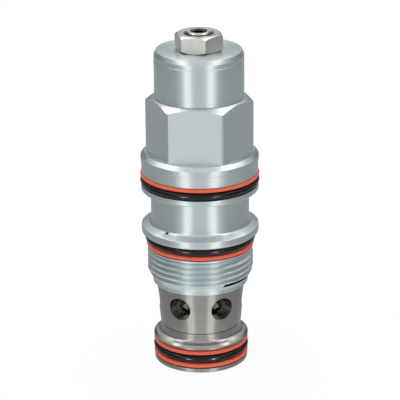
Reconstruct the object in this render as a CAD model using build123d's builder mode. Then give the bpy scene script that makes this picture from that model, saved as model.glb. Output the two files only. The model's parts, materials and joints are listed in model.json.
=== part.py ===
"""Screw-in counterbalance cartridge valve with three ports.

The origin is the centre of the nose face and +Z runs up the valve's axis to the
adjusting screw.  Port 1 is the open nose, port 2 is the ring of cross holes in the
nose sleeve, and port 3 is the undercut of the body, which feeds the pilot hole.
An azimuth of 0 faces -Y, and azimuths grow towards +X.
"""
from build123d import *
from math import cos, degrees, radians, sin, tan
import os

# ---------------------------------------------------------------- driving sizes, mm
RUNNING_GAP = 0.05          # radial clearance of a sliding fit
CONTACT_GAP = 0.02          # kept between two faces that rest on each other
SEAL_SECTION_R = 1.31       # 2.62 mm O-ring cord
SMALL_SECTION_R = 0.76      # 1.78 mm O-ring cord, squeezed in its groove

# Nose sleeve
NOSE_LAND_R = 16.0
NOSE_FLANGE_R = 16.2
NOSE_BACKUP_R = 16.2
NOSE_GLAND_R = 13.72
NOSE_GLAND_LOW = 1.55
NOSE_GLAND_HIGH = 8.55
SLEEVE_WAIST_R = 13.65
SLEEVE_SHOULDER_R = 14.85
SLEEVE_TOP_R = 14.55
SLEEVE_BORE_R = 9.3
SLEEVE_TOP_Z = 36.7
CHECK_BORE_R = 10.95
CROSS_HOLE_R = 4.0
CROSS_HOLE_Z = 22.2
CROSS_HOLE_COUNT = 6
CROSS_HOLE_AZIMUTH = 30.0

# Valve body, outside
SKIRT_R = 16.2
SKIRT_Z = 28.5
LEAD_LOW_Z = 29.9
THREAD_MAJOR_R = 18.0
THREAD_PITCH = 2.0
THREAD_DEPTH = 1.2
THREAD_CORE_R = 15.8
LEAD_HIGH_Z = 33.4
THREAD_LOW_Z = 33.5
THREAD_HIGH_Z = 40.95
MID_GLAND_LOW = 41.6
MID_GLAND_HIGH = 46.6
MID_GLAND_R = 16.2
MID_COLLAR_R = 19.85
UNDERCUT_R = 16.6
UNDERCUT_HIGH = 61.7
UPPER_LAND_R = 19.8
UPPER_GLAND_LOW = 63.6
UPPER_GLAND_HIGH = 68.1
UPPER_GLAND_R = 17.5
UPPER_COLLAR_R = 19.67
RIM_R = 19.87
RIM_LOW = 71.8
RIM_HIGH = 73.8
HEX_LOW = 75.0
HEX_ACROSS_FLATS = 31.75
HEX_CORNER_R = 18.1
HEX_CHAMFER_Z = 92.3
HEX_AZIMUTH = -5.8
BODY_TOP_Z = 94.0

# Valve body, inside
POCKET_R = 14.85
POCKET_TOP_Z = 37.0
GUIDE_BOSS_R = 8.9
GUIDE_BOSS_Z = 29.2
GUIDE_BORE_R = 6.45
GUIDE_BORE_TOP_Z = 43.5
PISTON_BORE_R = 8.05
PISTON_BORE_TOP_Z = 58.0
SPRING_BORE_R = 11.6
CAP_THREAD_R = 12.9
CAP_THREAD_LOW_Z = 85.5

# Retaining wire, its groove and the window that it is fed through
WIRE_Z = 31.8
WIRE_PATH_R = 14.7
WIRE_R = 0.5
WIRE_WINDOW_AZIMUTH = 46.2
WIRE_WINDOW_WIDTH = 11.2
WIRE_WINDOW_HEIGHT = 0.8

# Pilot hole of port 3
PILOT_AZIMUTH = -40.7
PILOT_MOUTH_R = 17.05
PILOT_MOUTH_Z = 50.0
PILOT_END_R = 7.2
PILOT_END_Z = 44.5
PILOT_HOLE_R = 0.5

# Adjuster
CAP_R = 15.0
CAP_TOP_Z = 110.0
CAP_CHAMFER_Z = 108.5
CAP_TOP_R = 14.3
CAP_SPIGOT_R = 12.85
CAP_SPIGOT_Z = 86.0
CAP_BORE_R = 9.2
CAP_BORE_TOP_Z = 102.5
SCREW_R = 4.6
SCREW_LOW_Z = 97.05
SCREW_TOP_Z = 116.3
SCREW_SOCKET_ACROSS_FLATS = 3.97
NUT_LOW_Z = 110.02
NUT_HIGH_Z = 115.7
NUT_ACROSS_FLATS = 14.29
NUT_AZIMUTH = -14.8

# Springs
MAIN_SPRING_MEAN_R = 8.9
MAIN_SPRING_WIRE_R = 1.5
MAIN_SPRING_LOW = 61.5
MAIN_SPRING_HIGH = 81.0
MAIN_SPRING_TURNS = 4.25
CHECK_SPRING_MEAN_R = 9.1
CHECK_SPRING_WIRE_R = 0.6
CHECK_SPRING_LOW = 3.7
CHECK_SPRING_HIGH = 10.2
CHECK_SPRING_TURNS = 3.0


# ---------------------------------------------------------------- shared shapes
def direction_of(azimuth):
    """Return the unit vector in XY that an azimuth faces."""
    angle = radians(azimuth)
    return Vector(sin(angle), -cos(angle), 0)


def corner(sketch, radius, height):
    """Return the sketch's vertex nearest to a radius and a height."""
    return sketch.vertices().sort_by_distance((radius, height))[0]


def turned(points, fillets=()):
    """Revolve a closed outline of (radius, height) points about Z.

    Each entry of fillets is (radius, height, fillet radius) and rounds that corner.
    """
    with BuildPart() as piece:
        with BuildSketch(Plane.XZ) as outline:
            with BuildLine():
                Polyline(*points, close=True)
            make_face()
            for at_r, at_z, size in fillets:
                fillet(corner(outline, at_r, at_z), size)
        revolve(axis=Axis.Z)
    return piece


def o_ring(outer_r, section_r, height):
    """Make an O-ring with the given outer radius, centred on a height."""
    with BuildPart() as ring:
        with BuildSketch(Plane.XZ):
            with Locations((outer_r - section_r, height)):
                Circle(section_r)
        revolve(axis=Axis.Z)
    return ring


def backup_ring(inner_r, outer_r, low, high, edge=0.25):
    """Make a backup ring of rectangular section with rounded edges."""
    with BuildPart() as ring:
        with BuildSketch(Plane.XZ) as section_sketch:
            with Locations(((inner_r + outer_r) / 2, (low + high) / 2)):
                Rectangle(outer_r - inner_r, high - low)
            fillet(section_sketch.vertices(), edge)
        revolve(axis=Axis.Z)
    return ring


def coil_spring(mean_r, wire_r, low, high, turns):
    """Make a compression spring with both ends ground flat."""
    height = high - low
    with BuildPart() as spring:
        with BuildLine() as coil:
            Helix(height / turns, height, mean_r, center=(0, 0, low))
        with BuildSketch(Plane(origin=coil.line @ 0, z_dir=coil.line % 0)):
            Circle(wire_r)
        sweep(path=coil.line, is_frenet=True)
        with BuildSketch(Plane.XY.offset(low + CONTACT_GAP)):
            Circle(mean_r + 2 * wire_r)
        extrude(amount=height - 2 * CONTACT_GAP, mode=Mode.INTERSECT)
    return spring


def save(piece, label):
    """Label a finished piece and write it as parts/label.step."""
    piece.part.label = label
    export_step(piece.part, f"parts/{label}.step")
    solids = piece.part.solids()
    print(f"{label}: {len(solids)} solid(s), {piece.part.volume:.1f} mm3, valid {piece.part.is_valid}")


# ---------------------------------------------------------------- nose sleeve
def make_nose_sleeve():
    seat_low = 14.17
    clip_low = 1.5
    clip_high = 2.6
    clip_groove_r = 11.5
    waist_foot_z = 10.45
    outline = [
        (CHECK_BORE_R + 0.4, 0),
        (NOSE_LAND_R - 0.15, 0),
        (NOSE_LAND_R, 0.15),
        (NOSE_LAND_R, NOSE_GLAND_LOW),
        (NOSE_GLAND_R, NOSE_GLAND_LOW),
        (NOSE_GLAND_R, NOSE_GLAND_HIGH),
        (NOSE_FLANGE_R, NOSE_GLAND_HIGH),
        (NOSE_FLANGE_R, 9.2),
        (15.4, 9.9),
        (SLEEVE_WAIST_R, waist_foot_z),
        (SLEEVE_WAIST_R, 13.55),
        (SLEEVE_WAIST_R + 0.15, 13.65),
        (14.6, CROSS_HOLE_Z),
        (SLEEVE_SHOULDER_R, 28.1),
        (SLEEVE_TOP_R, 28.4),
        (SLEEVE_TOP_R, SLEEVE_TOP_Z - 0.5),
        (SLEEVE_TOP_R - 0.5, SLEEVE_TOP_Z),
        (SLEEVE_BORE_R + 0.4, SLEEVE_TOP_Z),
        (SLEEVE_BORE_R, SLEEVE_TOP_Z - 0.4),
        (SLEEVE_BORE_R, seat_low + CHECK_BORE_R - SLEEVE_BORE_R),
        (CHECK_BORE_R, seat_low),
        (CHECK_BORE_R, clip_high),
        (clip_groove_r, clip_high),
        (clip_groove_r, clip_low),
        (CHECK_BORE_R, clip_low),
        (CHECK_BORE_R, 0.4),
    ]
    with BuildPart() as sleeve:
        add(turned(outline, [(SLEEVE_WAIST_R, waist_foot_z, 0.9)]).part)
        # Port 2: a ring of cross holes
        for index in range(CROSS_HOLE_COUNT):
            azimuth = CROSS_HOLE_AZIMUTH + index * 360 / CROSS_HOLE_COUNT
            hole_plane = Plane(origin=(0, 0, CROSS_HOLE_Z), z_dir=direction_of(azimuth))
            with BuildSketch(hole_plane):
                Circle(CROSS_HOLE_R)
            extrude(amount=NOSE_LAND_R, mode=Mode.SUBTRACT)
        # Groove for the retaining wire
        with BuildSketch(Plane.XZ):
            with Locations((WIRE_PATH_R, WIRE_Z)):
                Circle(WIRE_R + 0.12)
        revolve(axis=Axis.Z, mode=Mode.SUBTRACT)
    return sleeve


def make_nose_retaining_ring():
    """Make the internal circlip that closes the nose."""
    outer_r = 11.45
    inner_r = 9.6
    low = 1.56
    thickness = 1.0
    gap_half_angle = 14.0
    lug_r = 1.5
    with BuildPart() as clip:
        with BuildSketch(Plane.XY.offset(low)):
            Circle(outer_r)
            Circle(inner_r, mode=Mode.SUBTRACT)
            with BuildLine():
                reach = 2 * outer_r
                spread = reach * tan(radians(gap_half_angle))
                Polyline((0, 0), (reach, -spread), (reach, spread), close=True)
            make_face(mode=Mode.SUBTRACT)
            lug_angle = radians(gap_half_angle + degrees(lug_r / inner_r))
            lug_centres = [
                ((inner_r - 0.3) * cos(lug_angle), side * (inner_r - 0.3) * sin(lug_angle))
                for side in (-1, 1)
            ]
            with Locations(*lug_centres):
                Circle(lug_r)
                Circle(0.65, mode=Mode.SUBTRACT)
        extrude(amount=thickness)
    return clip


def make_check_spring_retainer():
    """Make the washer that carries the check spring, with a lip inside the coil."""
    low = 2.57
    return turned([
        (7.3, low),
        (CHECK_BORE_R - 0.1, low),
        (CHECK_BORE_R - 0.1, CHECK_SPRING_LOW),
        (8.3, CHECK_SPRING_LOW),
        (8.3, 4.8),
        (7.3, 4.8),
    ])


def make_check_poppet():
    """Make the floating check ring, with an outer seat cone and a bore that is the inner seat."""
    outer_r = CHECK_BORE_R - RUNNING_GAP
    bore_r = 5.4
    top_z = 15.6
    band_r = 9.45
    notch_r = 1.5
    outline = [
        (6.6, 8.6),
        (8.2, 8.6),
        (8.2, CHECK_SPRING_HIGH),
        (outer_r, CHECK_SPRING_HIGH),
        (outer_r, top_z - (outer_r - band_r)),
        (band_r, top_z),
        (bore_r, top_z),
        (bore_r, 11.2),
        (6.6, 10.0),
    ]
    with BuildPart() as ring:
        add(turned(outline).part)
        # Flow notches round the rim
        with BuildSketch(Plane.XY.offset(CHECK_SPRING_HIGH - 1)):
            with PolarLocations(outer_r + 0.5, 6):
                Circle(notch_r)
        extrude(amount=10, mode=Mode.SUBTRACT)
    return ring


# ---------------------------------------------------------------- valve body
def make_threaded_ring():
    """Make the right-hand cavity thread as a ring that fills the body's thread zone."""
    root_r = THREAD_MAJOR_R - THREAD_DEPTH
    start_z = 31.0
    height = 11.0
    crest_half = 0.13
    crest_r = THREAD_MAJOR_R - 0.02
    foot_r = root_r - 0.25
    foot_half = crest_half + (crest_r - foot_r) * tan(radians(30))
    with BuildPart() as ridge:
        with BuildLine() as helix:
            Helix(THREAD_PITCH, height, root_r, center=(0, 0, start_z))
        with BuildSketch(Plane.XZ):
            with BuildLine():
                Polyline(
                    (foot_r, start_z - foot_half),
                    (crest_r, start_z - crest_half),
                    (crest_r, start_z + crest_half),
                    (foot_r, start_z + foot_half),
                    close=True,
                )
            make_face()
        sweep(path=helix.line, is_frenet=True)
    with BuildPart() as ring:
        with BuildSketch(Plane.XY.offset(start_z - THREAD_PITCH)):
            Circle(root_r)
            Circle(THREAD_CORE_R, mode=Mode.SUBTRACT)
        extrude(amount=height + 2 * THREAD_PITCH)
        add(ridge.part.rotate(Axis.Z, 90))
        # The ridge runs past both ends, which are then cut square
        with BuildSketch(Plane.XY.offset(THREAD_LOW_Z)):
            Circle(THREAD_MAJOR_R + 1)
        extrude(amount=THREAD_HIGH_Z - THREAD_LOW_Z, mode=Mode.INTERSECT)
    return ring


def make_valve_body():
    undercut_foot_z = 50.15
    outer = [
        (SKIRT_R - 0.2, SKIRT_Z),
        (SKIRT_R, SKIRT_Z + 0.2),
        (SKIRT_R, LEAD_LOW_Z),
        (THREAD_MAJOR_R, LEAD_HIGH_Z),
        (THREAD_MAJOR_R, THREAD_LOW_Z),
        (THREAD_CORE_R, THREAD_LOW_Z),
        (THREAD_CORE_R, THREAD_HIGH_Z),
        (THREAD_MAJOR_R, THREAD_HIGH_Z),
        (THREAD_MAJOR_R, MID_GLAND_LOW),
        (MID_GLAND_R, MID_GLAND_LOW),
        (MID_GLAND_R, MID_GLAND_HIGH),
        (MID_COLLAR_R - 0.25, MID_GLAND_HIGH),
        (MID_COLLAR_R, MID_GLAND_HIGH + 0.3),
        (MID_COLLAR_R, 49.1),
        (UNDERCUT_R, undercut_foot_z),
        (UNDERCUT_R, UNDERCUT_HIGH),
        (UPPER_LAND_R, UNDERCUT_HIGH),
        (UPPER_LAND_R, UPPER_GLAND_LOW),
        (UPPER_GLAND_R, UPPER_GLAND_LOW),
        (UPPER_GLAND_R, UPPER_GLAND_HIGH),
        (UPPER_COLLAR_R, UPPER_GLAND_HIGH),
        (UPPER_COLLAR_R, RIM_LOW),
        (RIM_R, RIM_LOW + 0.2),
        (RIM_R, RIM_HIGH),
        (HEX_CORNER_R, 75.2),
        (HEX_CORNER_R, HEX_CHAMFER_Z),
        (CAP_R + 0.12, BODY_TOP_Z),
    ]
    inner = [
        (CAP_THREAD_R + 0.3, BODY_TOP_Z),
        (CAP_THREAD_R, BODY_TOP_Z - 0.3),
        (CAP_THREAD_R, CAP_THREAD_LOW_Z),
        (SPRING_BORE_R, CAP_THREAD_LOW_Z),
        (SPRING_BORE_R, PISTON_BORE_TOP_Z),
        (PISTON_BORE_R, PISTON_BORE_TOP_Z),
        (PISTON_BORE_R, GUIDE_BORE_TOP_Z),
        (GUIDE_BORE_R, GUIDE_BORE_TOP_Z),
        (GUIDE_BORE_R, GUIDE_BOSS_Z),
        (GUIDE_BOSS_R, GUIDE_BOSS_Z),
        (GUIDE_BOSS_R, POCKET_TOP_Z),
        (POCKET_R, POCKET_TOP_Z),
        (POCKET_R, SKIRT_Z + 0.3),
        (POCKET_R + 0.3, SKIRT_Z),
    ]
    with BuildPart() as body:
        add(turned(outer + inner, [(UNDERCUT_R, undercut_foot_z, 1.2)]).part)
        add(make_threaded_ring().part)
        # Wrench flats, milled down to a ledge
        with BuildSketch(Plane.XY.offset(HEX_LOW)):
            Circle(RIM_R + 1)
            RegularPolygon(
                HEX_ACROSS_FLATS / 2, 6, major_radius=False, rotation=HEX_AZIMUTH,
                mode=Mode.SUBTRACT,
            )
        extrude(amount=BODY_TOP_Z - HEX_LOW + 1, mode=Mode.SUBTRACT)
        # Inner half of the wire groove
        with BuildSketch(Plane.XZ):
            with Locations((WIRE_PATH_R, WIRE_Z)):
                Circle(WIRE_R + 0.05)
        revolve(axis=Axis.Z, mode=Mode.SUBTRACT)
        # Window through which the wire is fed
        facing = direction_of(WIRE_WINDOW_AZIMUTH)
        window_plane = Plane(
            origin=facing * (POCKET_R - 0.1) + Vector(0, 0, WIRE_Z), z_dir=facing,
            x_dir=(0, 0, 1),
        )
        with BuildSketch(window_plane):
            Rectangle(WIRE_WINDOW_HEIGHT, WIRE_WINDOW_WIDTH)
        extrude(amount=THREAD_MAJOR_R, mode=Mode.SUBTRACT)
        # Pilot hole from port 3 down to the piston's chamber, with its spot face
        outward = direction_of(PILOT_AZIMUTH)
        mouth = outward * PILOT_MOUTH_R + Vector(0, 0, PILOT_MOUTH_Z)
        end = outward * PILOT_END_R + Vector(0, 0, PILOT_END_Z)
        pilot_plane = Plane(origin=end, z_dir=mouth - end)
        drilled = (mouth - end).length
        with BuildSketch(pilot_plane):
            Circle(PILOT_HOLE_R)
        extrude(amount=drilled + 3, mode=Mode.SUBTRACT)
        with BuildSketch(pilot_plane.offset(drilled - 0.1)):
            Circle(2 * PILOT_HOLE_R)
        extrude(amount=3, mode=Mode.SUBTRACT)
    return body


def make_retaining_wire():
    """Make the open ring of wire that ties the sleeve to the body."""
    open_angle = 24.0
    facing = direction_of(WIRE_WINDOW_AZIMUTH + open_angle / 2)
    start_plane = Plane(origin=(0, 0, 0), x_dir=facing, z_dir=facing.cross(Vector(0, 0, 1)))
    with BuildPart() as wire:
        with BuildSketch(start_plane):
            with Locations((WIRE_PATH_R, WIRE_Z)):
                Circle(WIRE_R)
        revolve(axis=Axis.Z, revolution_arc=360 - open_angle)
    return wire


# ---------------------------------------------------------------- relief poppet
GUIDE_GROOVE_LOW = 34.2
GUIDE_GROOVE_HIGH = 37.6
PISTON_GROOVE_LOW = 50.0
PISTON_GROOVE_HIGH = 53.4
SMALL_GROOVE_DEPTH = 1.5
SMALL_BACKUP = 1.2


def make_relief_poppet():
    """Make the stepped poppet: seat cone, guide, pilot piston and spigot, in one piece."""
    guide_r = GUIDE_BORE_R - RUNNING_GAP
    piston_r = PISTON_BORE_R - RUNNING_GAP
    return turned([
        (0, 13.2),
        (3.0, 13.2),
        (6.3, 16.6),
        (6.3, 18.6),
        (4.8, 20.1),
        (4.8, 25.6),
        (guide_r, 27.2),
        (guide_r, GUIDE_GROOVE_LOW),
        (guide_r - SMALL_GROOVE_DEPTH, GUIDE_GROOVE_LOW),
        (guide_r - SMALL_GROOVE_DEPTH, GUIDE_GROOVE_HIGH),
        (guide_r, GUIDE_GROOVE_HIGH),
        (guide_r, 43.0),
        (5.8, 43.3),
        (5.8, 46.5),
        (piston_r - 0.3, 46.5),
        (piston_r, 46.8),
        (piston_r, PISTON_GROOVE_LOW),
        (piston_r - SMALL_GROOVE_DEPTH, PISTON_GROOVE_LOW),
        (piston_r - SMALL_GROOVE_DEPTH, PISTON_GROOVE_HIGH),
        (piston_r, PISTON_GROOVE_HIGH),
        (piston_r, 58.2),
        (piston_r - 0.3, 58.5),
        (4.5, 58.5),
        (4.5, 61.0),
        (4.1, 61.4),
        (0, 61.4),
    ])


def make_groove_pair(wall_r, groove_r, groove_low):
    """Make the O-ring and the backup ring above it in a groove that slides in a bore."""
    seal_r = wall_r - 0.03
    ring = o_ring(seal_r, SMALL_SECTION_R, groove_low + SMALL_SECTION_R + 0.15)
    backup_low = groove_low + 2 * SMALL_SECTION_R + 0.3
    backup = backup_ring(groove_r + 0.05, seal_r, backup_low, backup_low + SMALL_BACKUP, 0.1)
    return ring, backup


def make_lower_spring_seat():
    return turned([
        (4.53, 58.52),
        (10.4, 58.52),
        (10.9, 59.0),
        (10.9, MAIN_SPRING_LOW),
        (6.9, MAIN_SPRING_LOW),
        (6.9, 63.6),
        (6.4, 64.1),
        (4.53, 64.1),
    ])


# ---------------------------------------------------------------- adjuster
SEAT_GROOVE_LOW = 89.4
SEAT_GROOVE_HIGH = 92.8


def make_upper_spring_seat():
    """Make the spring seat whose stem slides and seals in the cap."""
    stem_r = CAP_BORE_R - RUNNING_GAP
    return turned([
        (0, 78.4),
        (6.4, 78.4),
        (6.9, 78.9),
        (6.9, MAIN_SPRING_HIGH),
        (10.9, MAIN_SPRING_HIGH),
        (10.9, 83.4),
        (10.4, 83.9),
        (stem_r, 83.9),
        (stem_r, SEAT_GROOVE_LOW),
        (stem_r - SMALL_GROOVE_DEPTH, SEAT_GROOVE_LOW),
        (stem_r - SMALL_GROOVE_DEPTH, SEAT_GROOVE_HIGH),
        (stem_r, SEAT_GROOVE_HIGH),
        (stem_r, 96.5),
        (stem_r - 0.5, 97.0),
        (0, 97.0),
    ])


def make_adjuster_cap():
    seal_groove_low = 91.2
    seal_groove_high = 93.6
    line_z = 107.0
    line_depth = 0.12
    return turned([
        (CAP_BORE_R, CAP_SPIGOT_Z),
        (CAP_SPIGOT_R - 0.6, CAP_SPIGOT_Z),
        (CAP_SPIGOT_R, CAP_SPIGOT_Z + 0.6),
        (CAP_SPIGOT_R, seal_groove_low),
        (11.3, seal_groove_low),
        (11.3, seal_groove_high),
        (CAP_SPIGOT_R, seal_groove_high),
        (CAP_SPIGOT_R, BODY_TOP_Z + CONTACT_GAP),
        (CAP_R - 0.25, BODY_TOP_Z + CONTACT_GAP),
        (CAP_R, BODY_TOP_Z + 0.27),
        (CAP_R, line_z - line_depth),
        (CAP_R - line_depth, line_z),
        (CAP_R, line_z + line_depth),
        (CAP_R, CAP_CHAMFER_Z),
        (CAP_TOP_R, CAP_TOP_Z),
        (SCREW_R + RUNNING_GAP + 0.6, CAP_TOP_Z),
        (SCREW_R + RUNNING_GAP, CAP_TOP_Z - 0.6),
        (SCREW_R + RUNNING_GAP, CAP_BORE_TOP_Z),
        (CAP_BORE_R, CAP_BORE_TOP_Z),
    ])


def make_adjusting_screw():
    socket_depth = 5.0
    countersink_r = 2.5
    outline = [
        (0, SCREW_LOW_Z),
        (3.4, SCREW_LOW_Z),
        (SCREW_R, SCREW_LOW_Z + 1.2),
        (SCREW_R, SCREW_TOP_Z - 0.6),
        (SCREW_R - 0.6, SCREW_TOP_Z),
        (countersink_r, SCREW_TOP_Z),
        (countersink_r - 0.55, SCREW_TOP_Z - 0.35),
        (0, SCREW_TOP_Z - 0.35),
    ]
    with BuildPart() as screw:
        add(turned(outline).part)
        with BuildSketch(Plane.XY.offset(SCREW_TOP_Z)):
            RegularPolygon(SCREW_SOCKET_ACROSS_FLATS / 2, 6, major_radius=False, rotation=8.0)
        extrude(amount=-socket_depth, mode=Mode.SUBTRACT)
    return screw


def make_locknut():
    """Make the double-chamfered jam nut."""
    flat_r = NUT_ACROSS_FLATS / 2
    corner_r = flat_r / cos(radians(30))
    chamfer_drop = (corner_r - flat_r + 0.15) * tan(radians(30))
    bore_r = SCREW_R + RUNNING_GAP
    sink = 0.5
    envelope = [
        (bore_r + sink, NUT_LOW_Z),
        (flat_r - 0.15, NUT_LOW_Z),
        (corner_r, NUT_LOW_Z + chamfer_drop),
        (corner_r, NUT_HIGH_Z - chamfer_drop),
        (flat_r - 0.15, NUT_HIGH_Z),
        (bore_r + sink, NUT_HIGH_Z),
        (bore_r, NUT_HIGH_Z - sink),
        (bore_r, NUT_LOW_Z + sink),
    ]
    with BuildPart() as nut:
        add(turned(envelope).part)
        with BuildSketch(Plane.XY.offset(NUT_LOW_Z)):
            RegularPolygon(flat_r, 6, major_radius=False, rotation=NUT_AZIMUTH)
        extrude(amount=NUT_HIGH_Z - NUT_LOW_Z, mode=Mode.INTERSECT)
    return nut


# ---------------------------------------------------------------- all pieces
os.makedirs("parts", exist_ok=True)

save(make_nose_sleeve(), "nose_sleeve")
save(o_ring(NOSE_GLAND_R + 2 * SEAL_SECTION_R, SEAL_SECTION_R, 4.85), "nose_o_ring")
save(backup_ring(NOSE_GLAND_R + 0.05, NOSE_BACKUP_R, 1.62, 3.42), "nose_lower_backup_ring")
save(backup_ring(NOSE_GLAND_R + 0.05, NOSE_BACKUP_R, 6.3, 8.1), "nose_upper_backup_ring")
save(make_nose_retaining_ring(), "nose_retaining_ring")
save(make_check_spring_retainer(), "check_spring_retainer")
save(
    coil_spring(
        CHECK_SPRING_MEAN_R, CHECK_SPRING_WIRE_R, CHECK_SPRING_LOW, CHECK_SPRING_HIGH,
        CHECK_SPRING_TURNS,
    ),
    "check_spring",
)
save(make_check_poppet(), "check_poppet")

save(make_valve_body(), "valve_body")
save(make_retaining_wire(), "retaining_wire")
save(o_ring(MID_GLAND_R + 0.03 + 2 * SEAL_SECTION_R, SEAL_SECTION_R, 44.85), "mid_o_ring")
save(backup_ring(MID_GLAND_R + 0.05, 18.3, 41.7, 43.45), "mid_backup_ring")
save(o_ring(UPPER_GLAND_R + 0.03 + 2 * SEAL_SECTION_R, SEAL_SECTION_R, 65.0), "upper_o_ring")
save(backup_ring(UPPER_GLAND_R + 0.05, 20.1, 66.4, 68.05), "upper_backup_ring")

save(make_relief_poppet(), "relief_poppet")
guide_ring, guide_backup = make_groove_pair(
    GUIDE_BORE_R, GUIDE_BORE_R - RUNNING_GAP - SMALL_GROOVE_DEPTH, GUIDE_GROOVE_LOW,
)
save(guide_ring, "guide_o_ring")
save(guide_backup, "guide_backup_ring")
piston_ring, piston_backup = make_groove_pair(
    PISTON_BORE_R, PISTON_BORE_R - RUNNING_GAP - SMALL_GROOVE_DEPTH, PISTON_GROOVE_LOW,
)
save(piston_ring, "piston_o_ring")
save(piston_backup, "piston_backup_ring")
save(make_lower_spring_seat(), "lower_spring_seat")
save(
    coil_spring(
        MAIN_SPRING_MEAN_R, MAIN_SPRING_WIRE_R, MAIN_SPRING_LOW, MAIN_SPRING_HIGH,
        MAIN_SPRING_TURNS,
    ),
    "main_spring",
)

save(make_upper_spring_seat(), "upper_spring_seat")
seat_ring, seat_backup = make_groove_pair(
    CAP_BORE_R, CAP_BORE_R - RUNNING_GAP - SMALL_GROOVE_DEPTH, SEAT_GROOVE_LOW,
)
save(seat_ring, "spring_seat_o_ring")
save(seat_backup, "spring_seat_backup_ring")
save(make_adjuster_cap(), "adjuster_cap")
save(o_ring(CAP_THREAD_R - 0.02, 0.78, 92.4), "cap_o_ring")
save(make_adjusting_screw(), "adjusting_screw")
save(make_locknut(), "locknut")
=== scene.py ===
"""Looks for the three-port cartridge valve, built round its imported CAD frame.

Outlines are (radius, height) corners in millimetres, with the nose face at height 0.
An azimuth of 0 faces -Y and azimuths grow towards +X.
"""
import json
import math

import bmesh
import bpy
from mathutils import Matrix, Vector


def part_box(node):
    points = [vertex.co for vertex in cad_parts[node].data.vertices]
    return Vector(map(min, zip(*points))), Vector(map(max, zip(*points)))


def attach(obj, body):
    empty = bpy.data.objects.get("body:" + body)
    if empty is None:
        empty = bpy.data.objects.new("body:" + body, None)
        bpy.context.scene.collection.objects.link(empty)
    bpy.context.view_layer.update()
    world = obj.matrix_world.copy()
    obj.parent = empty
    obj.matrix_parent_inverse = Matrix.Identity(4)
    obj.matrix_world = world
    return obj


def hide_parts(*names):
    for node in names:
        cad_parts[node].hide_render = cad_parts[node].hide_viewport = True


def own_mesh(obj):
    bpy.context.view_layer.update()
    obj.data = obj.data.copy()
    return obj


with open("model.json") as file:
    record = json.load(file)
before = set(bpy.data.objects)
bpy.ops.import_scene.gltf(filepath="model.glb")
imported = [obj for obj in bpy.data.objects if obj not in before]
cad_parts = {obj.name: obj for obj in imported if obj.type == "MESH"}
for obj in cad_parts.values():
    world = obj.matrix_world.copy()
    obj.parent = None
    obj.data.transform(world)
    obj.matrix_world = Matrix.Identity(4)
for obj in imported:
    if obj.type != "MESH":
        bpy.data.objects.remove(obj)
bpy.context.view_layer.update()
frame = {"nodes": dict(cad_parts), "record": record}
NODES = frame["nodes"]
MM = 0.001


def low_high(node):
    """Return a node's lowest and highest z in millimetres."""
    low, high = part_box(node)
    return low.z / MM, high.z / MM


def outer_radius(node):
    """Return a round node's outer radius in millimetres."""
    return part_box(node)[1].x / MM


# ------------------------------------------------------------------ mesh building
def arc_corner(before, at, after, radius, steps):
    """Replace the corner at with an arc of the given radius, as steps + 1 points."""
    to_before = (before - at).normalized()
    to_after = (after - at).normalized()
    half = to_before.angle(to_after) / 2
    if math.sin(half) > 0.9999:
        return [at]
    reach = min(
        radius / math.tan(half),
        0.48 * (before - at).length,
        0.48 * (after - at).length,
    )
    radius = reach * math.tan(half)
    centre = at + (to_before + to_after).normalized() * radius / math.sin(half)
    start = at + to_before * reach - centre
    end = at + to_after * reach - centre
    sweep = start.angle_signed(end)
    points = []
    for step in range(steps + 1):
        turn = -sweep * step / steps
        points.append(centre + Matrix.Rotation(turn, 2) @ start)
    return points


def rounded(outline, steps):
    """Turn (r, z) or (r, z, fillet) corners of a closed outline into points."""
    corners = [Vector(point[:2]) for point in outline]
    count = len(corners)
    points = []
    for index, point in enumerate(outline):
        if len(point) == 3 and point[2] > 0:
            before, after = corners[index - 1], corners[(index + 1) % count]
            points += arc_corner(before, corners[index], after, point[2], steps)
        else:
            points.append(corners[index])
    return points


def azimuth_xy(azimuth, radius):
    """Return x and y at an azimuth in degrees and a radius."""
    angle = math.radians(azimuth)
    return radius * math.sin(angle), -radius * math.cos(angle)


def finish_mesh(name, shape, sharp_degrees=32):
    """Turn a bmesh into a smooth-shaded object with sharp edges past an angle."""
    bmesh.ops.recalc_face_normals(shape, faces=shape.faces)
    data = bpy.data.meshes.new(name)
    shape.to_mesh(data)
    shape.free()
    piece = bpy.data.objects.new(name, data)
    bpy.context.scene.collection.objects.link(piece)
    return shade(piece, sharp_degrees)


def shade(piece, sharp_degrees):
    piece.data.shade_smooth()
    piece.data.set_sharp_from_angle(angle=math.radians(sharp_degrees))
    return piece


def lathe(name, outline, segments=360, steps=4, sharp_degrees=32):
    """Revolve a closed outline of (r, z[, fillet]) corners about Z."""
    shape = bmesh.new()
    rings = []
    for point in rounded(outline, steps):
        if point.x < 1e-6:
            rings.append([shape.verts.new((0, 0, point.y * MM))])
            continue
        ring = []
        for segment in range(segments):
            x, y = azimuth_xy(360 * segment / segments, point.x * MM)
            ring.append(shape.verts.new((x, y, point.y * MM)))
        rings.append(ring)
    for ring, following in zip(rings, rings[1:] + rings[:1]):
        for segment in range(segments):
            after = (segment + 1) % segments
            corners = []
            for vert in (
                ring[segment % len(ring)],
                ring[after % len(ring)],
                following[after % len(following)],
                following[segment % len(following)],
            ):
                if vert not in corners:
                    corners.append(vert)
            if len(corners) > 2:
                shape.faces.new(corners)
    return finish_mesh(name, shape, sharp_degrees)


def skin(name, rings):
    """Skin a list of equal rings of points, in metres, and cap both ends."""
    shape = bmesh.new()
    made = [[shape.verts.new(point) for point in ring] for ring in rings]
    for ring, following in zip(made, made[1:]):
        count = len(ring)
        for index in range(count):
            after = (index + 1) % count
            shape.faces.new((ring[index], ring[after], following[after], following[index]))
    shape.faces.new(made[0])
    shape.faces.new(made[-1])
    return finish_mesh(name, shape)


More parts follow.
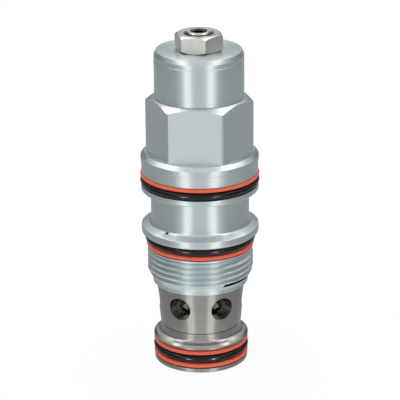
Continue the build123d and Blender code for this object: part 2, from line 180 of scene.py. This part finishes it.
def prism(name, outline, low, high):
    """Extrude an (x, y) outline in millimetres between two heights."""
    rings = [[(x * MM, y * MM, z * MM) for x, y in outline] for z in (low, high)]
    return skin(name, rings)


def hex_outline(across_flats, azimuth):
    """Return a hexagon's corners, with a flat facing the azimuth."""
    corner_r = across_flats / 2 / math.cos(math.radians(30))
    return [azimuth_xy(azimuth + 30 + 60 * side, corner_r) for side in range(6)]


def drill(name, radius, start, end, segments=64):
    """Make a round cutter between two points in millimetres."""
    start, end = Vector(start) * MM, Vector(end) * MM
    turn = (end - start).to_track_quat("Z", "Y")
    rings = []
    for centre in (start, end):
        ring = []
        for segment in range(segments):
            x, y = azimuth_xy(360 * segment / segments, radius * MM)
            ring.append(centre + turn @ Vector((x, y, 0)))
        rings.append(ring)
    return skin(name, rings)


def cut(piece, cutters, operation="DIFFERENCE"):
    """Apply exact booleans to a piece and remove the cutters."""
    for cutter in cutters:
        modifier = piece.modifiers.new("cut", "BOOLEAN")
        modifier.operation = operation
        modifier.solver = "EXACT"
        modifier.object = cutter
        evaluated = piece.evaluated_get(bpy.context.evaluated_depsgraph_get())
        result = bpy.data.meshes.new_from_object(evaluated)
        piece.modifiers.clear()
        piece.data = result
        bpy.data.objects.remove(cutter)
    return shade(piece, 28)


# ------------------------------------------------------------------ materials
class NodeGraph:
    """Short helpers for building the nodes of self.tree."""

    def node(self, kind, **settings):
        node = self.tree.nodes.new(kind)
        for key, value in settings.items():
            setattr(node, key, value)
        return node

    def link(self, output, node_input):
        self.tree.links.new(output, node_input)

    def math(self, operation, first, second):
        """Return the output of a Math node of sockets or numbers."""
        node = self.node("ShaderNodeMath", operation=operation)
        for socket, value in zip(node.inputs, (first, second)):
            if isinstance(value, (int, float)):
                socket.default_value = value
            else:
                self.link(value, socket)
        return node.outputs[0]


class Shader(NodeGraph):
    """A principled material."""

    def __init__(self, name, color, metallic, roughness):
        self.material = bpy.data.materials.new(name)
        self.material.use_nodes = True
        self.tree = self.material.node_tree
        self.bsdf = self.tree.nodes["Principled BSDF"]
        self.set("Base Color", (*color, 1))
        self.set("Metallic", metallic)
        self.set("Roughness", roughness)
        self.coords = self.tree.nodes.new("ShaderNodeTexCoord").outputs["Object"]

    def set(self, socket, value):
        self.bsdf.inputs[socket].default_value = value

    def mean(self, first, second):
        return self.math("MULTIPLY", self.math("ADD", first, second), 0.5)

    def roughness(self, value, low, high):
        """Link a 0.3-0.7 value to roughness, spread between low and high."""
        node = self.node("ShaderNodeMapRange")
        node.inputs["From Min"].default_value = 0.3
        node.inputs["From Max"].default_value = 0.7
        node.inputs["To Min"].default_value = low
        node.inputs["To Max"].default_value = high
        self.link(value, node.inputs["Value"])
        self.link(node.outputs["Result"], self.bsdf.inputs["Roughness"])

    def noise(self, scale, detail=3.0, stretch=(1, 1, 1)):
        """Return 3-D noise in object space, with scale per metre."""
        mapping = self.node("ShaderNodeMapping")
        mapping.inputs["Scale"].default_value = stretch
        self.link(self.coords, mapping.inputs["Vector"])
        noise = self.node("ShaderNodeTexNoise")
        noise.inputs["Scale"].default_value = scale
        noise.inputs["Detail"].default_value = detail
        self.link(mapping.outputs["Vector"], noise.inputs["Vector"])
        return noise.outputs["Fac"]

    def turning_marks(self, scale, detail=4.0):
        """Return 1-D noise along the lathe's feed, so that it makes rings round Z."""
        split = self.node("ShaderNodeSeparateXYZ")
        self.link(self.coords, split.inputs[0])
        squares = [self.math("MULTIPLY", split.outputs[i], split.outputs[i]) for i in (0, 1)]
        radius = self.math("SQRT", self.math("ADD", *squares), 0)
        feed = self.math("ADD", split.outputs[2], self.math("MULTIPLY", radius, 0.73))
        noise = self.node("ShaderNodeTexNoise", noise_dimensions="1D")
        noise.inputs["Scale"].default_value = scale
        noise.inputs["Detail"].default_value = detail
        self.link(feed, noise.inputs["W"])
        return noise.outputs["Fac"]

    def color_between(self, factor, first, second):
        mix = self.node("ShaderNodeMix", data_type="RGBA")
        mix.inputs["A"].default_value = (*first, 1)
        mix.inputs["B"].default_value = (*second, 1)
        self.link(factor, mix.inputs["Factor"])
        self.link(mix.outputs["Result"], self.bsdf.inputs["Base Color"])

    def bump(self, height, distance, over=None):
        node = self.node("ShaderNodeBump")
        node.inputs["Strength"].default_value = 1.0
        node.inputs["Distance"].default_value = distance
        self.link(height, node.inputs["Height"])
        if over is not None:
            self.link(over, node.inputs["Normal"])
        self.link(node.outputs["Normal"], self.bsdf.inputs["Normal"])
        return node.outputs["Normal"]

    def stretch_along_z(self, anisotropy):
        """Stretch highlights across the turning marks, which run round Z."""
        tangent = self.node("ShaderNodeTangent", direction_type="RADIAL", axis="Z")
        self.link(tangent.outputs[0], self.bsdf.inputs["Tangent"])
        self.set("Anisotropic", anisotropy)
        self.set("Anisotropic Rotation", 0.25)


def turned_metal(name, dark, light, roughness, spread, anisotropy, mark_scale, mark_depth):
    """Make lathe-turned metal: fine rings, slow colour drift and stretched highlights."""
    shader = Shader(name, light, 1.0, roughness)
    marks = shader.turning_marks(mark_scale)
    shader.color_between(shader.mean(marks, shader.noise(60, 4)), dark, light)
    grain = shader.noise(2500, 2)
    shader.roughness(shader.mean(marks, grain), roughness - spread, roughness + spread)
    base = shader.bump(grain, mark_depth * 0.3)
    shader.bump(marks, mark_depth, over=base)
    shader.stretch_along_z(anisotropy)
    return shader.material


def milled_metal(name, dark, light, roughness, spread, mark_depth):
    """Make milled flats: fine straight marks and a soft satin sheen."""
    shader = Shader(name, light, 1.0, roughness)
    marks = shader.noise(900, 3, stretch=(1, 1, 0.12))
    shader.color_between(shader.mean(marks, shader.noise(90, 4)), dark, light)
    shader.roughness(marks, roughness - spread, roughness + spread)
    shader.bump(marks, mark_depth)
    return shader.material


def nitrile(name):
    """Make black moulded rubber with a soft sheen and a little bloom."""
    shader = Shader(name, (0.012, 0.011, 0.013), 0.0, 0.24)
    shader.set("IOR", 1.33)
    shader.color_between(shader.noise(300, 5), (0.004, 0.003, 0.004), (0.010, 0.008, 0.009))
    shader.roughness(shader.noise(1200, 4), 0.14, 0.26)
    shader.bump(shader.noise(4000, 3), 0.000004)
    return shader.material


def polyurethane(name):
    """Make the orange plastic of the backup rings, slightly translucent."""
    shader = Shader(name, (0.80, 0.12, 0.055), 0.0, 0.38)
    shader.color_between(shader.noise(200, 4), (0.74, 0.110, 0.050), (0.84, 0.135, 0.060))
    shader.set("Subsurface Weight", 0.2)
    shader.set("Subsurface Radius", (1.0, 0.3, 0.15))
    shader.set("Subsurface Scale", 0.0006)
    shader.roughness(shader.noise(1500, 3), 0.30, 0.46)
    shader.bump(shader.noise(2500, 3), 0.000006)
    return shader.material


ZINC = turned_metal(
    "zinc_turned", (0.62, 0.675, 0.685), (0.71, 0.76, 0.77), 0.33, 0.05, 0.84, 1300, 0.0000022
)
ZINC_FLAT = milled_metal(
    "zinc_milled", (0.63, 0.67, 0.665), (0.70, 0.74, 0.73), 0.42, 0.05, 0.000006
)
GROUND = turned_metal(
    "ground_steel", (0.37, 0.350, 0.335), (0.45, 0.425, 0.405), 0.22, 0.05, 0.70, 1800, 0.0000025
)
INNER = turned_metal(
    "hardened_steel", (0.34, 0.33, 0.31), (0.48, 0.47, 0.45), 0.24, 0.05, 0.6, 1600, 0.000004
)
FASTENER = turned_metal(
    "fastener_turned", (0.58, 0.58, 0.54), (0.70, 0.70, 0.66), 0.22, 0.05, 0.5, 1500, 0.000004
)
FASTENER_FLAT = milled_metal(
    "fastener_flats", (0.56, 0.56, 0.52), (0.68, 0.68, 0.63), 0.34, 0.06, 0.000007
)
# Dark spring wire, also used as painted shade in the wire slot and on the screw end.
WIRE_AND_PAINTED_SHADE = milled_metal(
    "spring_wire", (0.030, 0.029, 0.030), (0.075, 0.072, 0.072), 0.34, 0.08, 0.000004
)
RUBBER = nitrile("black_rubber")
ORANGE = polyurethane("orange_polyurethane")


def dress(piece, body, slot, material, *replaced):
    """Give a new piece its material and its body, and hide the nodes it stands for. The slot is
    not used.
    """
    piece.data.materials.clear()
    piece.data.materials.append(material)
    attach(piece, body)
    if replaced:
        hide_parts(*replaced)


def dress_flats(piece, material, azimuth, clear_r, above=-1.0):
    """Give the six wrench flats outside a radius and above a height a second material."""
    piece.data.materials.append(material)
    flats = [Vector((*azimuth_xy(azimuth + 60 * side, 1), 0)) for side in range(6)]
    for face in piece.data.polygons:
        outside = Vector(face.center[:2]).length > clear_r * MM
        facing = max(face.normal.dot(flat) for flat in flats) > 0.9999
        if outside and facing and face.center.z > above * MM:
            face.material_index = 1


# ------------------------------------------------------------------ camera, light, floor
AIM = Vector((0, 0, 0.0570))
DISTANCE = 0.700
ELEVATION = math.radians(20.28)
ROLL = math.radians(-0.45)


def make_camera():
    data = bpy.data.cameras.new("camera")
    data.sensor_width = 36
    data.lens = 186.1
    camera = bpy.data.objects.new("camera", data)
    bpy.context.scene.collection.objects.link(camera)
    back = Vector((0, -math.cos(ELEVATION), math.sin(ELEVATION)))
    camera.rotation_mode = "QUATERNION"
    camera.location = AIM + back * DISTANCE
    level = (-back).to_track_quat("-Z", "Y")
    camera.rotation_quaternion = level @ Matrix.Rotation(ROLL, 3, "Z").to_quaternion()
    bpy.context.scene.camera = camera


class Surround(NodeGraph):
    """The studio round the valve, painted on the world by direction."""

    FRONT = 0.68         # between the two softboxes
    SIDE = 0.40          # below eye level
    HORIZON = 0.15       # at the sides, just above eye level
    BEHIND = 0.72
    ABOVE = 0.80
    BELOW = 0.85
    BOX = 0.60           # added where a softbox stands
    HIGH_BOX = 1.70      # and where it bends overhead
    BOX_AZIMUTH = 29.5   # degrees either side of the front, up to eye level
    BOX_HALF_WIDTH = 8.5
    BOX_EDGE = 1.5       # half the width of its soft edge
    BOX_SPREAD = 109.0   # how far the softboxes bend round as they rise
    BOX_BEND = 2.6       # the power of height by which they bend
    COOL = (0.955, 1.0, 1.03)
    WARM = (1.02, 1.0, 0.94)

    def __init__(self):
        world = bpy.data.worlds.new("studio")
        bpy.context.scene.world = world
        world.use_nodes = True
        self.tree = world.node_tree
        coords = self.node("ShaderNodeTexCoord")
        split = self.node("ShaderNodeSeparateXYZ")
        self.link(coords.outputs["Generated"], split.inputs[0])
        x, y, z = split.outputs
        turn = self.math("ARCTAN2", x, self.product(y, -1))
        azimuth = self.product(self.math("ABSOLUTE", turn, 0), 180 / math.pi)
        level = self.walls(azimuth, z)
        box = self.math("MAXIMUM", self.softboxes(azimuth, z), self.rear_band(azimuth, z))
        total = self.node("ShaderNodeVectorMath")
        self.link(self.tint(level, self.COOL), total.inputs[0])
        self.link(self.tint(box, self.WARM), total.inputs[1])
        self.link(total.outputs[0], self.tree.nodes["Background"].inputs["Color"])

    def walls(self, azimuth, z):
        """Return the brightness of the room: walls, ceiling and floor."""
        side = self.ease(azimuth, 36, 62, 0, 1)
        level = self.blend(side, self.FRONT, self.SIDE)
        dim = self.product(side, self.ease(z, -0.04, 0.08, 0, 1))
        level = self.blend(dim, level, self.HORIZON)
        back = self.ease(azimuth, 150, 170, 0, 1)
        behind = self.product(back, self.ease(z, 0.15, 0.3, 0, 1))
        level = self.blend(behind, level, self.BEHIND)
        level = self.blend(self.ease(z, 0.22, 0.62, 0, 1), level, self.ABOVE)
        return self.blend(self.ease(z, -0.78, -0.55, 1, 0), level, self.BELOW)

    def softboxes(self, azimuth, z):
        """Return the two upright softboxes, which bend round to the back overhead."""
        bend = self.product(self.math("POWER", self.math("MAXIMUM", z, 0), self.BOX_BEND),
                            self.BOX_SPREAD)
        off = self.math("SUBTRACT", azimuth, self.math("ADD", bend, self.BOX_AZIMUTH))
        level_share = self.math("SQRT", self.math("SUBTRACT", 1, self.product(z, z)), 0)
        off = self.product(self.math("ABSOLUTE", off, 0), level_share)
        inner, outer = self.BOX_HALF_WIDTH - self.BOX_EDGE, self.BOX_HALF_WIDTH + self.BOX_EDGE
        return self.product(
            self.ease(off, inner, outer, 1, 0),
            self.ease(z, -0.95, -0.75, 0, 1),
            self.ease(z, 0.0, 0.4, self.BOX, self.HIGH_BOX),
            self.ease(z, 0.93, 0.99, 1, 0),
        )

    def rear_band(self, azimuth, z):
        """Return the high bands behind the valve, which light its rear chamfers."""
        return self.product(
            self.ease(azimuth, 112, 122, 0, 1),
            self.ease(azimuth, 164, 174, 1, 0),
            self.ease(z, 0.64, 0.74, 0, self.HIGH_BOX),
            self.ease(z, 0.88, 0.94, 1, 0),
        )

    def product(self, first, *others):
        for other in others:
            first = self.math("MULTIPLY", first, other)
        return first

    def ease(self, value, low, high, first, last):
        """Step smoothly from first to last as a value goes from low to high."""
        node = self.node("ShaderNodeMapRange", interpolation_type="SMOOTHSTEP")
        for socket, number in zip(node.inputs[1:5], (low, high, first, last)):
            socket.default_value = number
        self.link(value, node.inputs[0])
        return node.outputs[0]

    def blend(self, share, first, last):
        """Mix a socket towards a number."""
        kept = self.math("MULTIPLY", first, self.math("SUBTRACT", 1, share))
        return self.math("ADD", kept, self.math("MULTIPLY", share, last))

    def tint(self, value, color):
        node = self.node("ShaderNodeVectorMath", operation="SCALE")
        node.inputs[0].default_value = color
        self.link(value, node.inputs["Scale"])
        return node.outputs[0]


def area_lamp(name, azimuth, elevation, distance, size, radiance):
    """Make a square lamp that faces the valve, from a direction in degrees."""
    data = bpy.data.lights.new(name, "AREA")
    data.shape = "SQUARE"
    data.size = size
    data.energy = radiance * math.pi * size * size
    lamp = bpy.data.objects.new(name, data)
    bpy.context.scene.collection.objects.link(lamp)
    x, y = azimuth_xy(azimuth, math.cos(math.radians(elevation)))
    toward = Vector((x, y, math.sin(math.radians(elevation))))
    lamp.location = AIM + toward * distance
    lamp.rotation_mode = "QUATERNION"
    lamp.rotation_quaternion = toward.to_track_quat("Z", "Y")
    return lamp


def make_lamps():
    """Make a soft lamp overhead and two small ones that light only the black rubber."""
    area_lamp("overhead", 180, 89, distance=1.4, size=1.0, radiance=0.12)
    for name, side in (("glint_left", -1), ("glint_right", 1)):
        azimuth = side * Surround.BOX_AZIMUTH
        lamp = area_lamp(name, azimuth, 0, distance=1.2, size=0.12, radiance=110.0)
        lamp.light_linking.receiver_collection = SEALS


def stage_white(name, reflectance, glow):
    """Make a matt white that gives out most of its own brightness."""
    shader = Shader(name, (reflectance,) * 3, 0.0, 0.9)
    shader.set("Specular IOR Level", 0.0)
    shader.set("Emission Color", (1, 1, 1, 1))
    shader.set("Emission Strength", glow)
    return shader.material


def stage_sheet(name, first, second):
    """Skin two circles of (radius, height), in metres, into a sheet of the stage."""
    shape = bmesh.new()
    sides = 96
    low, high = [
        [shape.verts.new((*azimuth_xy(360 / sides * side, radius), z)) for side in range(sides)]
        for radius, z in (first, second)
    ]
    for index in range(sides):
        after = (index + 1) % sides
        shape.faces.new((low[index], low[after], high[after], high[index]))
    if first[1] == second[1]:
        shape.faces.new(low)
    sheet = finish_mesh(name, shape)
    return sheet


def make_floor():
    """Make the white floor and, round its edge, a white wall that lights nothing."""
    radius, wall_height = 6.0, 4.0
    floor = stage_sheet("floor", (0.001, 0), (radius, 0))
    floor.data.materials.append(stage_white("floor_white", 0.10, 0.90))
    floor.visible_glossy = False
    wall = stage_sheet("wall", (radius, 0), (radius, wall_height))
    wall.data.materials.append(stage_white("wall_white", 0.0, 0.99))
    wall.visible_glossy = False
    wall.visible_diffuse = False
    wall.visible_transmission = False
    wall.visible_shadow = False


make_camera()
Surround()
SEALS = bpy.data.collections.new("seals")
make_lamps()
make_floor()
bpy.context.scene.view_settings.view_transform = "Standard"


# ------------------------------------------------------------------ nose sleeve
def make_sleeve():
    top = low_high("nose_sleeve")[1]
    hole_z = 22.2
    sleeve = lathe("sleeve_turned", [
        # land and seal gland
        (11.35, 0, 0.1), (15.7, 0, 0.15), (16.0, 0.3, 0.2), (16.0, 1.55, 0.08),
        (13.72, 1.55, 0.15), (13.72, 8.55, 0.15), (16.2, 8.55, 0.08), (16.2, 9.2, 0.12),
        # shoulder and the fine groove over it
        (15.4, 9.9, 0.15), (13.65, 10.45, 1.5), (13.65, 13.2), (13.35, 13.35, 0.05),
        (13.35, 13.55, 0.05), (13.8, 13.7, 0.05),
        # waist with the cross holes, and the part inside the body
        (14.6, hole_z, 8.0), (14.85, 28.1, 0.08), (14.55, 28.4, 0.05), (14.55, top - 0.5, 0.1),
        (14.05, top, 0.1), (9.7, top, 0.1),
        # bore, check seat and retaining ring groove
        (9.3, top - 0.4, 0.1), (9.3, 15.82, 0.05), (10.95, 14.17, 0.05),
        (10.95, 2.6, 0.05), (11.5, 2.6), (11.5, 1.5), (10.95, 1.5, 0.05), (10.95, 0.4, 0.1),
    ])
    cutters = []
    for index in range(6):
        azimuth = 30 + 60 * index
        start = (*azimuth_xy(azimuth, 6), hole_z)
        end = (*azimuth_xy(azimuth, 20), hole_z)
        cutters.append(drill("cross_hole", 4.0, start, end, 96))
    cut(sleeve, cutters)
    dress(sleeve, "floating_sleeve", "ground_steel", GROUND, "nose_sleeve")


# ------------------------------------------------------------------ valve body
THREAD_ROOT_R = 16.8
THREAD_CREST_R = 17.97
LEAD_CONE = ((16.2, 29.9), (18.0, 33.4))
SLOT_Z = 31.7
SLOT_HEIGHT = 1.15


def cone_radius(z):
    """Return the radius of the thread's lead cone at a height."""
    (low_r, low_z), (high_r, high_z) = LEAD_CONE
    return low_r + (high_r - low_r) * (z - low_z) / (high_z - low_z)


def wire_window():
    """Make the cutter of the slot through which the retaining wire is fed."""
    azimuth, width = 46.2, 11.2
    turn = Matrix.Rotation(math.radians(azimuth - 90), 2)
    outline = [
        tuple(turn @ Vector((r, side * width / 2)))
        for r, side in ((14.75, -1), (24, -1), (24, 1), (14.75, 1))
    ]
    return prism("window_cutter", outline, SLOT_Z - SLOT_HEIGHT / 2, SLOT_Z + SLOT_HEIGHT / 2)


def paint_slot_shade(piece):
    """Paint shade on the level walls of the wire slot, using the dark wire material."""
    piece.data.materials.append(WIRE_AND_PAINTED_SHADE)
    last = len(piece.data.materials) - 1
    for face in piece.data.polygons:
        off_centre = abs(face.center.z / MM - SLOT_Z)
        if abs(face.normal.z) > 0.99 and abs(off_centre - SLOT_HEIGHT / 2) < 0.01:
            face.material_index = last


def make_body():
    (cone_r, cone_z), (top_r, top_z) = LEAD_CONE
    root_z = cone_z + (THREAD_ROOT_R - cone_r) * (top_z - cone_z) / (top_r - cone_r)
    body = lathe("body_turned", [
        # skirt, lead cone and thread root
        (16.0, 28.5, 0.05), (16.2, 28.7, 0.1), (cone_r, cone_z, 0.15),
        (THREAD_ROOT_R, root_z), (THREAD_ROOT_R, 40.3, 0.1), (17.9, 40.95, 0.1),
        # mid gland, lip, undercut and upper gland
        (18.0, 41.6, 0.08), (16.2, 41.6, 0.15), (16.2, 46.6, 0.15), (19.6, 46.6, 0.1),
        (19.85, 46.9, 0.1), (19.85, 49.1, 0.25), (16.6, 50.15, 1.2), (16.6, 61.7, 0.12),
        (19.5, 61.7, 0.05), (19.8, 62.0, 0.06), (19.8, 63.6, 0.08), (17.5, 63.6, 0.15),
        (17.5, 68.1, 0.15), (19.67, 68.1, 0.1), (19.67, 71.8, 0.1), (19.87, 72.0, 0.06),
        # collar, blank of the hex and its chamfer
        (19.87, 73.8, 0.2), (18.1, 75.2, 0.1), (18.1, 92.3, 0.08), (15.12, 94.0, 0.08),
        # bores, from the cap down to the sleeve
        (13.2, 94.0, 0.05), (12.9, 93.7, 0.05), (12.9, 85.5, 0.05), (11.6, 85.5, 0.05),
        (11.6, 58.0, 0.05), (8.05, 58.0, 0.05), (8.05, 43.5, 0.05), (6.45, 43.5, 0.05),
        (6.45, 29.2, 0.05), (8.9, 29.2, 0.1), (8.9, 37.0, 0.1), (14.85, 37.0, 0.1),
        (14.85, 28.8, 0.05), (15.15, 28.5, 0.05),
    ])
    across, hex_azimuth, ledge_z = 31.75, -5.8, 75.0
    blank = lathe("hex_cutter", [(10, ledge_z), (24, ledge_z), (24, 95), (10, 95)], 60)
    cut(blank, [prism("hex_core", hex_outline(across, hex_azimuth), 74, 96)])
    azimuth, mouth_r, mouth_z = -40.7, 17.05, 50.0
    end = Vector((*azimuth_xy(azimuth, 7.2), 44.5))
    mouth = Vector((*azimuth_xy(azimuth, mouth_r), mouth_z))
    outward = (mouth - end).normalized()
    pilot = drill("pilot_cutter", 0.5, end, mouth + 3 * outward, 32)
    spot = drill("spot_cutter", 0.7, mouth - 0.1 * outward, mouth + 3 * outward, 48)
    cut(body, [blank, pilot, spot, wire_window()])
    dress(body, "housing", "zinc_plate", ZINC, "valve_body")
    dress_flats(body, ZINC_FLAT, hex_azimuth, 15.2, ledge_z + 0.4)
    paint_slot_shade(body)


def make_thread():
    """Make the cavity thread's ridge, which rises out of the lead cone."""
    pitch, crest_half = 2.0, 0.13
    start_z, end_z, front_crest = 30.7, 40.6, 34.0
    foot_r = THREAD_ROOT_R - 0.15
    foot_half = crest_half + (THREAD_CREST_R - foot_r) * math.tan(math.radians(30))
    flank = [foot_half * share for share in (1, 0.84, 0.68, 0.52, 0.36)] + [crest_half]
    offsets = [-dz for dz in flank] + flank[::-1]
    steps_per_turn = 240
    count = int((end_z - start_z) / pitch * steps_per_turn)
    rings = []
    for step in range(count + 1):
        z = start_z + (end_z - start_z) * step / count
        azimuth = (z - front_crest) / pitch * 360
        fade = min(1.0, (count - step) / (steps_per_turn * 0.25))
        ring = []
        for dz in offsets:
            share = min(1.0, (foot_half - abs(dz)) / (foot_half - crest_half))
            r = foot_r + (THREAD_CREST_R - foot_r) * share * (0.1 + 0.9 * fade)
            cone = cone_radius(z + dz)
            if cone < THREAD_ROOT_R:
                cone -= 0.1
            x, y = azimuth_xy(azimuth, min(r, cone) * MM)
            ring.append((x, y, (z + dz) * MM))
        rings.append(ring)
    thread = cut(skin("cavity_thread", rings), [wire_window()])
    dress(thread, "housing", "zinc_plate", ZINC)
    paint_slot_shade(thread)


# ------------------------------------------------------------------ seals
def make_o_ring(name, node, body):
    """Make a moulded ring with a fine parting line round its equator."""
    low, high = low_high(node)
    section = (high - low) / 2 - 0.01
    centre_r, centre_z = outer_radius(node) - section - 0.02, (low + high) / 2
    sides, flash = 40, 0.03
    points = []
    for side in range(sides):
        angle = 2 * math.pi * side / sides
        bulge = flash if side == 0 else 0
        reach = section - flash + bulge
        points.append((centre_r + reach * math.cos(angle), centre_z + reach * math.sin(angle)))
    ring = lathe(name, points, 240, sharp_degrees=60)
    dress(ring, body, "black_rubber", RUBBER, node)
    SEALS.objects.link(ring)


def make_backup(name, node, body):
    """Make a backup ring whose outer face bulges from being squeezed."""
    low, high = low_high(node)
    outer = outer_radius(node) - 0.02
    bulge = 0.85
    steps = 12
    points = [(outer - 2.0, high, 0.1), (outer - 2.0, low, 0.1)]
    half = (high - low) / 2 - 0.12
    for step in range(steps + 1):
        angle = math.pi * (step / steps - 0.5)
        r = outer - bulge + bulge * math.cos(angle)
        points.append((r, (low + high) / 2 + half * math.sin(angle)))
    ring = lathe(name, points, 240, sharp_degrees=60)
    dress(ring, body, "orange_polyurethane", ORANGE, node)


# ------------------------------------------------------------------ adjuster
def make_cap():
    low, high = low_high("adjuster_cap")
    seat, line_z, line_depth = 94.02, 107.0, 0.12
    cap = lathe("cap_turned", [
        (9.2, low, 0.1), (12.25, low, 0.1), (12.85, low + 0.6, 0.1), (12.85, 91.2, 0.05),
        (11.3, 91.2, 0.1), (11.3, 93.6, 0.1), (12.85, 93.6, 0.05), (12.85, seat, 0.05),
        (14.75, seat, 0.05), (15.0, seat + 0.27, 0.1), (15.0, line_z - line_depth - 0.04, 0.02),
        (15.0 - line_depth, line_z, 0.03), (15.0, line_z + line_depth + 0.04, 0.02),
        (15.0, 108.5, 0.15), (14.3, high, 0.1), (5.25, high, 0.1), (4.65, high - 0.6, 0.05),
        (4.65, 102.5, 0.05), (9.2, 102.5, 0.1),
    ])
    dress(cap, "housing", "zinc_plate", ZINC, "adjuster_cap")


def make_nut():
    low, high = low_high("locknut")
    across, azimuth = 14.29, -14.8
    flat_r = across / 2
    corner_r = flat_r / math.cos(math.radians(30))
    drop = (corner_r - flat_r + 0.25) * math.tan(math.radians(30))
    nut = lathe("locknut_blank", [
        (5.3, low, 0.05), (flat_r - 0.25, low, 0.1), (corner_r, low + drop, 0.05),
        (corner_r, high - drop, 0.05), (flat_r - 0.25, high, 0.1), (5.05, high, 0.06),
        (4.66, high - 0.5, 0.05), (4.66, low + 0.6, 0.05),
    ], 240)
    cut(nut, [prism("nut_core", hex_outline(across, azimuth), low - 1, high + 1)], "INTERSECT")
    dress(nut, "jam_nut", "plated_fastener", FASTENER, "locknut")
    dress_flats(nut, FASTENER_FLAT, azimuth, 6.5)


SOCKET_MOUTH_R = 2.85


def paint_shade_on_screw_end(screw, top):
    """Paint shade on the socket and on the thread roots between the end's chamfer and the nut,
    using the dark wire material.
    """
    screw.data.materials.append(WIRE_AND_PAINTED_SHADE)
    for face in screw.data.polygons:
        r = math.hypot(face.center.x, face.center.y) / MM
        depth = top - face.center.z / MM
        in_socket = r < SOCKET_MOUTH_R - 0.05 and depth > 0.03
        if in_socket or (r > 3.8 and 0.5 < depth < 2.5):
            face.material_index = 1


def make_screw():
    low, high = low_high("adjusting_screw")
    outer, pitch = 4.58, 25.4 / 24
    root = outer - 0.6
    screw = lathe("screw_core", [
        (0, low), (3.3, low, 0.1), (root, low + 0.8, 0.1), (root, high - 1.4, 0.05),
        (3.9, high - 0.5, 0.1), (3.6, high - 0.08, 0.2), (SOCKET_MOUTH_R, high, 0.06),
        (2.35, high - 0.5, 0.05), (0, high - 0.5),
    ], 180)
    cut(screw, [prism("socket_cutter", hex_outline(3.97, 8.0), high - 5, high + 1)])
    dress(screw, "screw", "plated_fastener", FASTENER, "adjusting_screw")
    paint_shade_on_screw_end(screw, high)
    steps = 96
    start_z, end_z = low + 0.9, high - 1.5
    count = int((end_z - start_z) / pitch * steps)
    rings = []
    for step in range(count + 1):
        z = start_z + (end_z - start_z) * step / count
        fade = min(1.0, step / (steps * 0.5), (count - step) / (steps * 0.7))
        ring = []
        for share, dz in ((0, -0.42), (0.9, -0.12), (1, -0.06), (1, 0.06), (0.9, 0.12), (0, 0.42)):
            r = root - 0.06 + (outer - root + 0.06) * share * (0.2 + 0.8 * fade)
            x, y = azimuth_xy(360 * (z - start_z) / pitch, r * MM)
            ring.append((x, y, (z + dz) * MM))
        rings.append(ring)
    dress(skin("screw_thread", rings), "screw", "plated_fastener", FASTENER)


# ------------------------------------------------------------------ springs
def make_spring(name, node, body, wire_r, mean_r, turns, closed_turns):
    """Make a spring with closed, ground ends."""
    low, high = low_high(node)
    height = high - low
    total = turns + 2 * closed_turns
    dead = 2 * wire_r * 0.98
    sides = 20
    count = int(total * 64)
    rings = []
    for step in range(count + 1):
        turn = total * step / count
        if turn < closed_turns:
            z = dead * turn
        elif turn > total - closed_turns:
            z = height - dead * (total - turn)
        else:
            share = (turn - closed_turns) / turns
            z = dead * closed_turns + (height - 2 * dead * closed_turns) * share
        ring = []
        for side in range(sides):
            angle = 2 * math.pi * side / sides
            x, y = azimuth_xy(360 * turn, (mean_r + wire_r * math.cos(angle)) * MM)
            level = min(max(z + wire_r * math.sin(angle), 0), height)
            ring.append((x, y, (low + level) * MM))
        rings.append(ring)
    spring = skin(name, rings)
    dress(spring, body, "spring_wire", WIRE_AND_PAINTED_SHADE, node)
    return spring


def press(spring):
    """Give a spring its own copy of its mesh."""
    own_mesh(spring)


make_sleeve()
make_body()
make_thread()
make_o_ring("upper_seal", "upper_o_ring", "housing")
make_o_ring("mid_seal", "mid_o_ring", "housing")
make_o_ring("nose_seal", "nose_o_ring", "floating_sleeve")
make_backup("upper_backup", "upper_backup_ring", "housing")
make_backup("mid_backup", "mid_backup_ring", "housing")
make_backup("nose_backup_upper", "nose_upper_backup_ring", "floating_sleeve")
make_backup("nose_backup_lower", "nose_lower_backup_ring", "floating_sleeve")
make_cap()
make_nut()
make_screw()
coil = make_spring("check_coil", "check_spring", "floating_sleeve", 0.6, 9.1, 2.2, 0.7)
press(coil)
coil = make_spring("main_coil", "main_spring", "housing", 1.5, 8.9, 3.4, 0.8)
press(coil)

INSIDE = {
    "inner_steel": INNER,
    "spring_wire": WIRE_AND_PAINTED_SHADE,
    "black_rubber": RUBBER,
    "orange_polyurethane": ORANGE,
}
for subpart in frame["record"]["subparts"]:
    node = NODES[subpart["node"]]
    if not node.hide_render:
        node.data.materials.clear()
        node.data.materials.append(INSIDE[subpart["material_slot"]])
